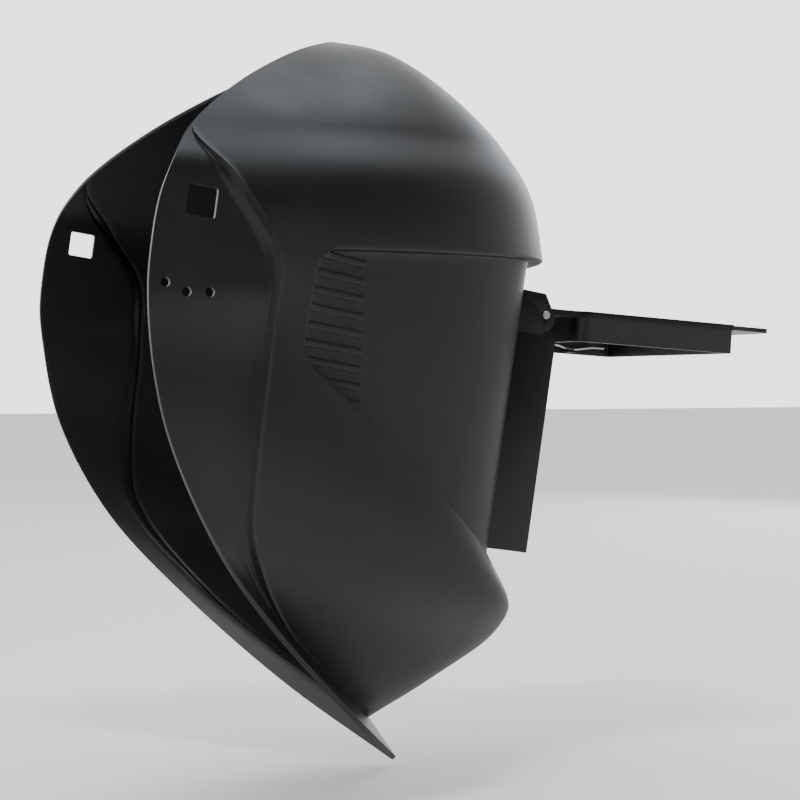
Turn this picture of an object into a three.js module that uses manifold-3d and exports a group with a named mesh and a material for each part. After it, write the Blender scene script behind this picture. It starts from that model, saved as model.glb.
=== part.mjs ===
// A passive welding helmet: a moulded shell with a fixed lens holder box on its front, and a
// lift-up front frame that carries the dark filter.
// Millimetres, +Z up, +X forward, +Y to the wearer's left. The origin is the middle of the axis
// that joins the two square headgear holes. The lift front stands open, as when the wearer looks
// at the work through the clear plate.
import * as THREE from 'three';
import { mergeVertices } from 'three/addons/utils/BufferGeometryUtils.js';
import Module from 'manifold-3d';

const wasm = await Module();
wasm.setup();

// ---------- driving dimensions ----------
const WALL = 2.5;
const GAP = 0.3;

// The shell's side features: a square hole for the headgear bolt on each side, and the headgear's
// stop holes, which are on the wearer's right only.
const LAND_W = 109;
const SQUARE_HOLE = 12.7;
const SQUARE_TILT = THREE.MathUtils.degToRad(8);
const STOP_HOLE_R = 2;
const STOP_HOLES = [[-15.4, -33.2], [-6.4, -36.9], [3.4, -36.9]];

// Matching stations up the shell: the rim, the rib between flange and body, and the front
// profile on the mid plane. Rim and rib points are x, half-width, z; profile points are x, z.
const RIM = [
  [136, 0, -264.5], [93, 44.5, -229], [45.5, 72.5, -182.4], [10, 95.5, -140.5], [-13, 104.4, -94],
  [-21.6, 106.5, -47], [-20.7, 108, -17], [-14.5, 107, 10], [-0.5, 96, 33.5], [27, 76, 56.8],
  [60, 53, 76.8], [89, 27, 89.4], [101, 0, 93],
];
const RIB = [
  [120.8, 0, -242.8], [98.4, 26, -224.5], [53.5, 58, -184], [24, 91, -143], [21, 102.5, -105],
  [27.8, 105, -47], [27, 111, -18.5], [11, 111, 8], [-0.5, 96, 33.5],
];
const CHIN_PROFILE = [
  [120.8, -242.8], [147.6, -222.5], [166.5, -204.5], [169.4, -187.5], [164, -174.2], [155.2, -160.5],
];
const DOME_PROFILE = [
  [202, -15.5], [197, 16], [184, 40.5], [162.5, 61.5], [140, 78.5], [122, 89], [101, 93],
];
const CHIN_FULLNESS = [0, 34, 60, 80, 88, 88];
const DOME_FULLNESS = [92, 90, 84, 72, 52, 26, 0];
const CHEEK_REACH = 0.58;
const DIAGONAL = 5;
const LEDGE = 6;
const TOP = 12;
const RIB_TOP = 8;
const RIB_STEP = 3;
const RIB_BAND = 4.5;

// The sunk window band: its rear edge, its depth there, and the flat front that leans back.
const BAND_REAR_X = [45, 50.5];
const BAND_DEPTH = 2.2;
const WINDOW_CENTRE = [163.1, -100];
const WINDOW_LEAN = THREE.MathUtils.degToRad(9);
const FLAT_HALF = 60;
const SIDE_END = 0.72;
const CORNER_PULL = 22;

// Window opening and lens sizes. In the window frame x points out of the window, z up along it.
const OPENING = [100, 76];
const PLATE = [108, 83];
const SCREW_AT = [50.5, 46.8];
const SCREW_R = 1.5;
const SCREW_HOLE_R = 1.9;

// Fixed holder box.
const BOX_HALF = 62.5;
const BOX_TOP = 52;
const BOX_BOTTOM = -53.1;
const BOTTOM_WALL = 1.7;
const BOX_DEPTH = 22.2;
const BOX_WALL = 2.2;
const BASE_BACK = 0.3;
const BASE_FRONT = 2.2;
const TOP_WALL_FRONT = 13.2;
const TAB_NOTCH = [57.5, 15.4];
const EAR_FACES = [58.1, 61.1];

// Hinge and lift front. In the lift frame, x is outward and z runs up from the free end when shut.
const PIN_AT = [15.8, 62.5];
const PIN_R = 1.95;
const PIN_BORE_R = 2.05;
const OPEN_ANGLE = THREE.MathUtils.degToRad(95.6);
const FRONT_FACE = 3.7;
const FRONT_BACK = 0.7;
const TRAY_RIM = -11.2;
const TRAY_HALF = 58.6;
const TRAY_TOP = -20;
const TRAY_END = -113.1;
const TRAY_WALL = 2.2;
const LIP_HALF = 60;
const TAB_HALF = 56;
const TAB_END = -140;
const ARM_FACES = [45, 57];
const LIFT_OPENING = [96, 72];
const TRAY_MID = (TRAY_TOP + TRAY_END) / 2;

// ---------- materials ----------
const plastic = (color, roughness) => new THREE.MeshStandardMaterial({ color, roughness, metalness: 0 });
const steel = () => new THREE.MeshStandardMaterial({ color: 0xb8bcc0, roughness: 0.35, metalness: 1 });
const clear = () => new THREE.MeshStandardMaterial({
  color: 0xdfe8e6, roughness: 0.05, metalness: 0, transparent: true, opacity: 0.35,
});

// ---------- solids: three.js shapes, joined and cut as closed solids ----------
function toSolid(geometry) {
  const bare = geometry.clone();
  bare.deleteAttribute('normal');
  bare.deleteAttribute('uv');
  const merged = mergeVertices(bare, 1e-4);
  return new wasm.Manifold(new wasm.Mesh({
    numProp: 3,
    vertProperties: merged.attributes.position.array,
    triVerts: new Uint32Array(merged.index.array),
  }));
}

function toGeometry(solid) {
  const mesh = solid.getMesh();
  const geometry = new THREE.BufferGeometry();
  const positions = new Float32Array(mesh.vertProperties);
  geometry.setAttribute('position', new THREE.BufferAttribute(positions, 3));
  geometry.setIndex(new THREE.BufferAttribute(new Uint32Array(mesh.triVerts), 1));
  geometry.computeVertexNormals();
  return geometry;
}

const union = (...solids) => solids.reduce((whole, next) => whole.add(next));
const cut = (solid, ...tools) => tools.reduce((left, tool) => left.subtract(tool), solid);

function block(x0, x1, y0, y1, z0, z1) {
  const geometry = new THREE.BoxGeometry(x1 - x0, y1 - y0, z1 - z0);
  geometry.translate((x0 + x1) / 2, (y0 + y1) / 2, (z0 + z1) / 2);
  return toSolid(geometry);
}

// A cylinder along X or Y between two faces.
function rod(axis, radius, from, to, at, sides = 24) {
  const geometry = new THREE.CylinderGeometry(radius, radius, to - from, sides);
  if (axis === 'x') geometry.rotateZ(-Math.PI / 2);
  const middle = (from + to) / 2;
  if (axis === 'x') geometry.translate(middle, at[0], at[1]);
  else geometry.translate(at[0], middle, at[1]);
  return toSolid(geometry);
}

// An outline drawn in Y and Z, extruded along X.
function slabX(shape, x0, x1, curveSegments = 4) {
  const geometry = new THREE.ExtrudeGeometry(shape, { depth: x1 - x0, bevelEnabled: false, curveSegments });
  geometry.applyMatrix4(new THREE.Matrix4().set(0, 0, 1, x0, 1, 0, 0, 0, 0, 1, 0, 0, 0, 0, 0, 1));
  return toSolid(geometry);
}

// An outline drawn in X and Z, extruded along Y.
function slabY(shape, y0, y1, curveSegments = 8) {
  const geometry = new THREE.ExtrudeGeometry(shape, { depth: y1 - y0, bevelEnabled: false, curveSegments });
  geometry.rotateX(Math.PI / 2);
  geometry.translate(0, y1, 0);
  return toSolid(geometry);
}

function roundedRect(halfY, z0, z1, lowRadius, highRadius) {
  const shape = new THREE.Shape();
  shape.moveTo(-halfY + lowRadius, z0);
  shape.lineTo(halfY - lowRadius, z0);
  shape.absarc(halfY - lowRadius, z0 + lowRadius, lowRadius, -Math.PI / 2, 0);
  shape.lineTo(halfY, z1 - highRadius);
  shape.absarc(halfY - highRadius, z1 - highRadius, highRadius, 0, Math.PI / 2);
  shape.lineTo(-halfY + highRadius, z1);
  shape.absarc(-halfY + highRadius, z1 - highRadius, highRadius, Math.PI / 2, Math.PI);
  shape.lineTo(-halfY, z0 + lowRadius);
  shape.absarc(-halfY + lowRadius, z0 + lowRadius, lowRadius, Math.PI, Math.PI * 1.5);
  return shape;
}

// A round wire along points, with the given section.
function wire(points, radius, steps) {
  const section = new THREE.Shape();
  section.absarc(0, 0, radius, 0, Math.PI * 2);
  const path = new THREE.CatmullRomCurve3(points.map((p) => new THREE.Vector3(...p)), false, 'centripetal');
  return toSolid(new THREE.ExtrudeGeometry(section, { steps, curveSegments: 4, extrudePath: path }));
}

function piece(name, solid, material) {
  const mesh = new THREE.Mesh(toGeometry(solid), material);
  mesh.name = name;
  return mesh;
}

// ---------- shell surface ----------
const toVectors = (points) => points.map((p) => new THREE.Vector3(...p));
const curve = (points) => new THREE.CatmullRomCurve3(toVectors(points), false, 'catmullrom');
// Rim and rib run one point past the mid plane, mirrored, so that they cross it squarely at the top.
const crossing = (points) => {
  const [x, halfWidth, z] = points[TOP - 1];
  const path = curve([...points, [x, -halfWidth, z]]);
  return { getPoint: (t) => path.getPoint((t * TOP) / (TOP + 1)) };
};
const rimCurve = crossing(RIM);
const ribCurve = crossing([...RIB, ...RIM.slice(RIB.length)]);
const chinCurve = curve(CHIN_PROFILE.map(([x, z], i) => [x, CHIN_FULLNESS[i], z]));
const domeCurve = curve(DOME_PROFILE.map(([x, z], i) => [x, DOME_FULLNESS[i], z]));
const lerp = THREE.MathUtils.lerp;
const smooth = (v, a, b) => THREE.MathUtils.smoothstep(v, a, b);

// The front end of a station's row: x and z on the mid plane, and in y how full the row is there.
function frontOf(v) {
  if (v <= DIAGONAL) return chinCurve.getPoint(v / DIAGONAL);
  if (v >= LEDGE) return domeCurve.getPoint((v - LEDGE) / (TOP - LEDGE));
  return chinCurve.getPoint(1).lerp(domeCurve.getPoint(0), v - DIAGONAL);
}

function bezier(t, p0, p1, p2, p3) {
  const s = 1 - t;
  return p0.clone().multiplyScalar(s * s * s)
    .addScaledVector(p1, 3 * s * s * t)
    .addScaledVector(p2, 3 * s * t * t)
    .addScaledVector(p3, t * t * t);
}

// How strongly the rib steps out at a station: it fades where the rib meets the rim, and low
// down, where the body leaves the flange at a steep angle anyway.
const ribStrength = (v) => smooth(v, 1.5, 3) * (1 - smooth(v, 7.2, RIB_TOP));

// How far the front of a station's row is flat on each side of the mid plane. The chin is blunt
// below the window, so that the lift front's grip tab clears it.
const flatOf = (v) => FLAT_HALF * smooth(v, 0.4, 4) * (1 - smooth(v, DIAGONAL, LEDGE));

// A body point at station v, from the rib (t = 0) to the mid plane (t = 1). Y holds half-width.
function bodyPoint(v, t) {
  const rib = ribCurve.getPoint(v / TOP);
  const front = frontOf(v);
  const along = new THREE.Vector3(front.x - rib.x, 0, front.z - rib.z);
  const start = rib.clone();
  const band = RIB_BAND * ribStrength(v);
  start.addScaledVector(along.clone().normalize(), band);
  start.y += 0.5 * RIB_STEP * ribStrength(v);
  const shoulder = start.clone().addScaledVector(along, CHEEK_REACH);
  shoulder.y = start.y * 0.99;
  const flat = flatOf(v);
  const corner = lerp(1, SIDE_END, flat / FLAT_HALF);
  if (t > corner) return new THREE.Vector3(front.x, (flat * (1 - t)) / (1 - corner), front.z);
  const end = new THREE.Vector3(front.x, flat, front.z);
  return bezier(t / corner, start, shoulder, front, end);
}

// The curve parameter at which a station's body row crosses the rear edge of the window band.
function bandStart(v) {
  const station = THREE.MathUtils.clamp(v, DIAGONAL, LEDGE);
  const target = lerp(BAND_REAR_X[0], BAND_REAR_X[1], station - DIAGONAL);
  let low = 0;
  let high = 1;
  for (let i = 0; i < 30; i += 1) {
    const middle = (low + high) / 2;
    if (bodyPoint(station, middle).x < target) low = middle;
    else high = middle;
  }
  return low;
}

// The flat window front: its x at height z.
const windowX = (z) => WINDOW_CENTRE[0] + (z - WINDOW_CENTRE[1]) * Math.tan(WINDOW_LEAN);

// A point of the sunk band at station v: s from its rear edge (0) round the corner to the flat
// front (1), then on to the mid plane (2).
function bandPoint(v, s) {
  const rear = bodyPoint(v, bandStart(v));
  rear.y -= BAND_DEPTH;
  const front = frontOf(v);
  const z = front.z;
  const x = windowX(z);
  if (s > 1) return new THREE.Vector3(x, FLAT_HALF * (2 - s), z);
  const shoulder = rear.clone().lerp(new THREE.Vector3(x, 0, z), 0.6);
  shoulder.y = lerp(rear.y, FLAT_HALF, 0.28);
  const corner = new THREE.Vector3(x, FLAT_HALF + CORNER_PULL, z);
  return bezier(s, rear, shoulder, corner, new THREE.Vector3(x, FLAT_HALF, z));
}

// A flange point: f from the rim (0) to the foot of the rib (1), flat around the headgear holes.
function flangePoint(v, f) {
  const rim = rimCurve.getPoint(v / TOP);
  const foot = ribCurve.getPoint(v / TOP);
  foot.y -= 0.5 * RIB_STEP * ribStrength(v);
  const point = rim.lerp(foot, f);
  const land = smooth(v, 4.6, 5.4) * (1 - smooth(v, 7, 7.8));
  point.y = lerp(point.y, LAND_W, land);
  return point;
}

// The grid: stations up the shell, and columns from the rim to the mid plane.
const steps = (from, to, count) => (
  Array.from({ length: count + 1 }, (_, i) => lerp(from, to, i / count)));
const STRIP = steps(0, 1, 2);
const SIDE = steps(0, 1, 8);
const FACE = steps(1, 2, 3).slice(1);
const stations = [
  ...[0, 0.25, 0.5, ...steps(1, DIAGONAL, 9)].map((v) => ({ v, sunk: false })),
  ...steps(DIAGONAL, LEDGE, 5).map((v) => ({ v, sunk: true })),
  ...[...steps(LEDGE, 11.5, 13), 11.75, TOP].map((v) => ({ v, sunk: false })),
];

function halfRow({ v, sunk }) {
  const start = bandStart(v);
  const row = steps(0, 1, 3).map((f) => flangePoint(v, f));
  row.push(...STRIP.map((s) => bodyPoint(v, s * start)));
  if (sunk) {
    row.push(...SIDE.map((s) => bandPoint(v, s)), ...FACE.map((s) => bandPoint(v, s)));
  } else {
    row.push(...SIDE.map((s) => bodyPoint(v, lerp(start, SIDE_END, s))));
    row.push(...FACE.map((s) => bodyPoint(v, lerp(SIDE_END, 1, s - 1))));
  }
  return row;
}

// Joins the grid's rows into one skin, thickens it inwards and closes it along the rim.
function shellSolid() {
  const positions = [];
  const rows = stations.map((station) => {
    const half = halfRow(station);
    const right = half.map((p) => [p.x, -p.y, p.z]);
    const left = half.slice(0, -1).reverse().map((p) => [p.x, p.y, p.z]);
    return [...right, ...left];
  });
  const width = rows[0].length;
  rows.forEach((row) => row.forEach((p) => positions.push(...p)));
  const index = [];
  for (let j = 0; j + 1 < rows.length; j += 1) {
    for (let i = 0; i + 1 < width; i += 1) {
      const a = j * width + i;
      const b = a + 1;
      const c = a + width;
      const d = c + 1;
      index.push(a, b, d, a, d, c);
    }
  }
  const sheet = new THREE.BufferGeometry();
  sheet.setAttribute('position', new THREE.Float32BufferAttribute(positions, 3));
  sheet.setIndex(index);
  const welded = mergeVertices(sheet, 1e-3);
  const old = Array.from(welded.index.array);
  const kept = [];
  for (let i = 0; i < old.length; i += 3) {
    const [a, b, c] = [old[i], old[i + 1], old[i + 2]];
    if (a !== b && b !== c && c !== a) kept.push(a, b, c);
  }
  welded.setIndex(kept);
  welded.computeVertexNormals();
  const outer = welded.attributes.position;
  const normal = welded.attributes.normal;
  const count = outer.count;
  const all = Array.from(outer.array);
  for (let i = 0; i < count; i += 1) {
    all.push(
      outer.getX(i) - WALL * normal.getX(i),
      outer.getY(i) - WALL * normal.getY(i),
      outer.getZ(i) - WALL * normal.getZ(i),
    );
  }
  const faces = [...kept];
  const edges = new Map();
  for (let i = 0; i < kept.length; i += 3) {
    const tri = [kept[i], kept[i + 1], kept[i + 2]];
    faces.push(tri[0] + count, tri[2] + count, tri[1] + count);
    tri.forEach((a, k) => {
      const b = tri[(k + 1) % 3];
      const twin = `${b},${a}`;
      if (edges.has(twin)) edges.delete(twin);
      else edges.set(`${a},${b}`, [a, b]);
    });
  }
  edges.forEach(([a, b]) => faces.push(b, a, a + count, b, a + count, b + count));
  const closed = new THREE.BufferGeometry();
  closed.setAttribute('position', new THREE.Float32BufferAttribute(all, 3));
  closed.setIndex(faces);
  return toSolid(closed);
}

// ---------- assembly ----------
const helmet = new THREE.Group();

// A tool placed in the window frame is turned into the helmet's frame for cutting the shell.
const windowMatrix = new THREE.Matrix4()
  .makeRotationY(WINDOW_LEAN)
  .setPosition(WINDOW_CENTRE[0], 0, WINDOW_CENTRE[1]);
const inHelmetFrame = (solid) => toSolid(toGeometry(solid).applyMatrix4(windowMatrix));

// The four screw places, numbered from the top right, and the tools that cut the holes for them.
const screwPlaces = [[-1, 1], [1, 1], [-1, -1], [1, -1]].map(([side, end]) => (
  [side * SCREW_AT[0], end * SCREW_AT[1]]));
const screwHoleTools = () => screwPlaces.map((at) => rod('x', SCREW_HOLE_R, -12, 12, at, 12));

function windowTool() {
  const [halfY, halfZ] = OPENING.map((size) => size / 2);
  return slabX(roundedRect(halfY, -halfZ, halfZ, 4, 4), -9, 9, 3);
}

function helmetShell() {
  const square = new THREE.BoxGeometry(SQUARE_HOLE, 2.4 * LAND_W, SQUARE_HOLE);
  square.rotateY(SQUARE_TILT);
  const stops = STOP_HOLES.map((at) => rod('y', STOP_HOLE_R, -1.2 * LAND_W, 0, at, 12));
  const tools = [...screwHoleTools(), windowTool()].map(inHelmetFrame);
  return cut(shellSolid(), ...tools, toSolid(square), ...stops);
}

helmet.add(piece('helmet_shell', helmetShell(), plastic(0x26282b, 0.48)));

const holder = new THREE.Group();
holder.position.set(WINDOW_CENTRE[0], 0, WINDOW_CENTRE[1]);
holder.rotation.y = WINDOW_LEAN;
helmet.add(holder);

function earShape() {
  const shape = new THREE.Shape();
  shape.moveTo(BASE_BACK, BOX_TOP - BOX_WALL);
  shape.lineTo(15.3, BOX_TOP - BOX_WALL);
  shape.lineTo(15.3, 54);
  shape.quadraticCurveTo(20, 55.4, 21, 59.5);
  shape.lineTo(20.9, 62);
  shape.lineTo(18.2, 66.4);
  shape.lineTo(14.1, 72.6);
  shape.lineTo(BASE_BACK, 72.6);
  return shape;
}

function lensHolderBox() {
  const base = slabX(roundedRect(BOX_HALF, BOX_BOTTOM, BOX_TOP, 1, 1), BASE_BACK, BASE_FRONT, 2);
  const opening = windowTool();
  const sides = [-1, 1].map((side) => {
    const [inner, outer] = [side * (BOX_HALF - BOX_WALL), side * BOX_HALF].sort((a, b) => a - b);
    return block(BASE_BACK, BOX_DEPTH, inner, outer, BOX_BOTTOM, BOX_TOP);
  });
  const wallEnd = BOX_HALF - 1;
  const bottomWall = block(
    BASE_BACK, BOX_DEPTH, -wallEnd, wallEnd, BOX_BOTTOM, BOX_BOTTOM + BOTTOM_WALL);
  const topWall = block(BASE_BACK, TOP_WALL_FRONT, -wallEnd, wallEnd, BOX_TOP - BOX_WALL, BOX_TOP);
  const [notchHalf, notchBack] = TAB_NOTCH;
  const tabNotch = block(
    notchBack, BOX_DEPTH + 1, -notchHalf, notchHalf, BOX_BOTTOM - 1, BOX_BOTTOM + 4);
  const ears = [-1, 1].map((side) => {
    const [inner, outer] = [side * EAR_FACES[0], side * EAR_FACES[1]].sort((a, b) => a - b);
    return slabY(earShape(), inner, outer);
  });
  const bore = rod('y', PIN_BORE_R, -BOX_HALF - 2, BOX_HALF + 2, PIN_AT);
  const walls = union(base, ...sides, bottomWall, topWall, ...ears);
  return cut(walls, opening, tabNotch, bore, ...screwHoleTools());
}

holder.add(piece('lens_holder_box', lensHolderBox(), plastic(0x1a1b1d, 0.42)));

// The frame inside the shell holds the clear plate in a shallow pocket, under small lugs.
const INNER_FRAME = { half: 58.5, reach: 51, front: -WALL - GAP, back: -WALL - GAP - 1.8 };
const POCKET = { half: PLATE[0] / 2 + 0.4, reach: PLATE[1] / 2 + 0.4, wall: 1.3, depth: -10.6 };

function frameRing(halfY, halfZ, openY, openZ, x0, x1) {
  const hole = block(x0 - 1, x1 + 1, -openY, openY, -openZ, openZ);
  return cut(block(x0, x1, -halfY, halfY, -halfZ, halfZ), hole);
}

function innerPlateFrame() {
  const plate = frameRing(INNER_FRAME.half, INNER_FRAME.reach, LIFT_OPENING[0] / 2, LIFT_OPENING[1] / 2,
    INNER_FRAME.back, INNER_FRAME.front);
  const pocket = frameRing(POCKET.half + POCKET.wall, POCKET.reach + POCKET.wall, POCKET.half, POCKET.reach,
    POCKET.depth, INNER_FRAME.front - 0.5);
  const lugs = [-1, 1].flatMap((side) => [-1, 1].map((end) => {
    const [inner, outer] = [side * (POCKET.half - 5), side * (POCKET.half + 0.5)].sort((a, b) => a - b);
    return block(POCKET.depth, POCKET.depth + 1, inner, outer, end * 20 - 4, end * 20 + 4);
  }));
  return cut(union(plate, pocket, ...lugs), ...screwHoleTools());
}

holder.add(piece('inner_plate_frame', innerPlateFrame(), plastic(0x1c1d1f, 0.5)));

const innerGasketBack = INNER_FRAME.back - GAP - 0.8;
const clearPlateBack = innerGasketBack - GAP - 1.5;
const innerWireR = 0.6;
const innerWireX = clearPlateBack - innerWireR - 0.1;
holder.add(piece('inner_plate_gasket',
  frameRing(53.6, 41, 48.5, 36.5, innerGasketBack, innerGasketBack + 0.8), plastic(0x101010, 0.8)));
const [plateY, plateZ] = PLATE.map((size) => size / 2);
holder.add(piece('clear_safety_plate',
  block(clearPlateBack, clearPlateBack + 1.5, -plateY, plateY, -plateZ, plateZ), clear()));

// The spring is one wire, bent to a U: half of its points, then the same ones mirrored.
const wireHalf = 51.6;
const wireLeg = [
  [wireHalf, 33], [wireHalf, 10], [wireHalf, -10], [wireHalf, -32], [wireHalf - 5, -37.5],
];
const wireLine = [...wireLeg, [0, -37.5], ...wireLeg.map(([y, z]) => [-y, z]).reverse()];
holder.add(piece('inner_plate_spring',
  wire(wireLine.map(([y, z]) => [innerWireX, y, z]), innerWireR, 44), steel()));

// Four screws clamp the box, the shell and the inner frame together.
const HEAD = { back: BASE_FRONT + 0.2, front: BASE_FRONT + 1.4, r: 2.75 };
const WASHER = { front: INNER_FRAME.back - 0.2, back: INNER_FRAME.back - 0.9, r: 2.9 };
const NUT = { front: WASHER.back - 0.2, back: WASHER.back - 2.6, r: 3.05 };

function screw(at) {
  const [y, z] = at;
  const driveSlot = block(HEAD.front - 0.6, HEAD.front + 1, y - 2.2, y + 2.2, z - 0.35, z + 0.35);
  const head = rod('x', HEAD.r, HEAD.back, HEAD.front, at, 20);
  return cut(union(head, rod('x', SCREW_R, NUT.back - 1.2, HEAD.back + 0.2, at, 12)), driveSlot);
}

function ring(outerR, innerR, x0, x1, at, sides) {
  return cut(rod('x', outerR, x0, x1, at, sides), rod('x', innerR, x0 - 1, x1 + 1, at, 12));
}

screwPlaces.forEach((at, i) => {
  const washer = ring(WASHER.r, SCREW_R + 0.2, WASHER.back, WASHER.front, at, 20);
  const nut = ring(NUT.r, SCREW_R + 0.1, NUT.back, NUT.front, at, 6);
  holder.add(piece(`holder_screw_${i + 1}`, screw(at), steel()));
  holder.add(piece(`holder_washer_${i + 1}`, washer, steel()));
  holder.add(piece(`holder_nut_${i + 1}`, nut, steel()));
});

// Hinge pin through both ears, headed on the left; its plain end shows on the right.
function hingePin() {
  const shank = rod('y', PIN_R, -EAR_FACES[1] - 0.7, EAR_FACES[1] + 0.6, PIN_AT);
  const head = rod('y', 3.4, EAR_FACES[1] + 0.3, EAR_FACES[1] + 1.3, PIN_AT);
  return union(shank, head);
}

holder.add(piece('hinge_pin', hingePin(), steel()));
const washerFaces = [ARM_FACES[1] + 0.25, EAR_FACES[0] - 0.25];
[['right', -1], ['left', 1]].forEach(([name, side]) => {
  const [from, to] = washerFaces.map((y) => side * y).sort((a, b) => a - b);
  const solid = cut(rod('y', 3.6, from, to, PIN_AT), rod('y', PIN_BORE_R, from - 1, to + 1, PIN_AT));
  holder.add(piece(`friction_washer_${name}`, solid, steel()));
});

// ---------- lift front ----------
const lift = new THREE.Group();
lift.position.set(PIN_AT[0], 0, PIN_AT[1]);
lift.rotation.y = -OPEN_ANGLE;
holder.add(lift);

function liftFrontFrame() {
  const face = slabX(roundedRect(LIP_HALF, TRAY_END - 0.2, TRAY_TOP + 2.5, 0.8, 9), FRONT_BACK, FRONT_FACE);
  const tray = slabX(roundedRect(TRAY_HALF, TRAY_END, TRAY_TOP, 0.8, 8), TRAY_RIM, FRONT_BACK + 0.5);
  const hollowShape = roundedRect(
    TRAY_HALF - TRAY_WALL, TRAY_END + TRAY_WALL, TRAY_TOP - TRAY_WALL, 0.6, 5.8);
  const hollow = slabX(hollowShape, TRAY_RIM - 1, FRONT_BACK);
  const [openY, openZ] = LIFT_OPENING.map((size) => size / 2);
  const opening = slabX(roundedRect(openY, TRAY_MID - openZ, TRAY_MID + openZ, 3, 3), -5, 9, 3);
  const tab = slabX(
    roundedRect(TAB_HALF, TAB_END, TRAY_END + 2, 5, 0.5), FRONT_FACE - 2.3, FRONT_FACE - 0.1);
  const ridges = [2.5, 6, 9.5].map((inset) => (
    rod('y', 0.9, -TAB_HALF + 8, TAB_HALF - 8, [FRONT_FACE - 0.3, TAB_END + inset], 10)));
  const arms = [-1, 1].map((side) => {
    const [from, to] = ARM_FACES.map((y) => side * y).sort((a, b) => a - b);
    const strap = block(FRONT_BACK, FRONT_FACE, from, to, TRAY_TOP, 0);
    return strap.add(rod('y', FRONT_FACE, from, to, [0, 0]));
  });
  const lugs = [-1, 1].flatMap((side) => [TRAY_MID + 17, TRAY_MID - 17].map((z) => {
    const wall = side * (TRAY_HALF - TRAY_WALL);
    const [from, to] = [wall - side * 6, wall + side * 0.5].sort((a, b) => a - b);
    return block(TRAY_RIM + 0.6, TRAY_RIM + 1.8, from, to, z - 3, z + 3);
  }));
  const bore = rod('y', PIN_BORE_R, -BOX_HALF, BOX_HALF, [0, 0]);
  const walls = cut(union(face, tray), hollow, opening);
  return cut(union(walls, tab, ...ridges, ...arms, ...lugs), bore);
}

lift.add(piece('lift_front_frame', liftFrontFrame(), plastic(0x1a1b1d, 0.42)));

const liftGasketBack = FRONT_BACK - GAP - 1;
const coverBack = liftGasketBack - GAP - 1.5;
const filterBack = coverBack - GAP - 3;
const inLift = (x0, x1, halfY, halfZ) => (
  block(x0, x1, -halfY, halfY, TRAY_MID - halfZ, TRAY_MID + halfZ));
lift.add(piece('filter_gasket', cut(
  inLift(liftGasketBack, liftGasketBack + 1, plateY, plateZ),
  inLift(liftGasketBack - 1, liftGasketBack + 2, 47, 35),
), plastic(0x101010, 0.8)));
lift.add(piece('outer_cover_plate', inLift(coverBack, coverBack + 1.5, plateY, plateZ), clear()));
lift.add(piece('dark_filter_plate',
  inLift(filterBack, filterBack + 3, plateY, plateZ), plastic(0x0c1410, 0.05)));

// Each spring is a bent wire that presses on the filter at three places and bows under two lugs.
const springR = 0.7;
const springLow = filterBack - springR - 0.45;
const springHigh = TRAY_RIM + 1.8 + springR + 0.1;
[['right', -1], ['left', 1]].forEach(([name, side]) => {
  const at = (x, inset, z) => [x, side * (TRAY_HALF - TRAY_WALL - inset), TRAY_MID + z];
  const points = [
    at(springLow, 9, 36), at(springLow, 5, 30), at(springHigh, 3, 17), at(springLow, 6, 6),
    at(springLow, 6, -6), at(springHigh, 3, -17), at(springLow, 5, -30), at(springLow, 9, -36),
  ];
  lift.add(piece(`filter_spring_${name}`, wire(points, springR, 36), steel()));
});

export default helmet;
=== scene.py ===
"""A passive welding helmet: the finished surfaces and materials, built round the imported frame.

Metres, +Z up, +X the way the wearer looks, +Y to the wearer's left. The origin is the middle of
the axis that joins the two square headgear holes.
"""
import math

import bmesh
import bpy
from mathutils import Matrix, Vector
from mathutils.bvhtree import BVHTree


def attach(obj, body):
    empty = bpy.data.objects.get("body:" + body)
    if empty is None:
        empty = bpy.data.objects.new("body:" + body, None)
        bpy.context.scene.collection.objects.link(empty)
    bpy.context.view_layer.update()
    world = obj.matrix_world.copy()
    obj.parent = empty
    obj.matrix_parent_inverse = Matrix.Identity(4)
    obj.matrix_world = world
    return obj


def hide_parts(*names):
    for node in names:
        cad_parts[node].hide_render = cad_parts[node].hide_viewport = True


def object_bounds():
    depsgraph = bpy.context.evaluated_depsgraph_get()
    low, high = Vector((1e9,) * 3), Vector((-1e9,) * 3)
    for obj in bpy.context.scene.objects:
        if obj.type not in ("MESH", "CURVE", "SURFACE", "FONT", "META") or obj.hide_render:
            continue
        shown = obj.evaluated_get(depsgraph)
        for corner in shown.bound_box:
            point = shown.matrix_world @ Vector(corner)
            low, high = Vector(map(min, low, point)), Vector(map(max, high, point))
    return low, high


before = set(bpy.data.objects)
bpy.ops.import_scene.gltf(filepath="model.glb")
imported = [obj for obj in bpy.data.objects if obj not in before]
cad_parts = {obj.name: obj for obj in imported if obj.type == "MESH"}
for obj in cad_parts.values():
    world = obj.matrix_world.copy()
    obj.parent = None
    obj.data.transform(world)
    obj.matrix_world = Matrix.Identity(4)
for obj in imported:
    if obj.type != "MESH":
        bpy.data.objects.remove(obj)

bl_info = {
    "name": "Welding Helmet",
    "version": (1, 0, 0),
    "blender": (4, 5, 0),
    "location": "View3D > Sidebar > Helmet",
    "description": "Builds a lift-front welding helmet and its studio stage",
    "category": "Add Mesh",
}

CAD_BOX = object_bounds()
MM = 0.001

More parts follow.
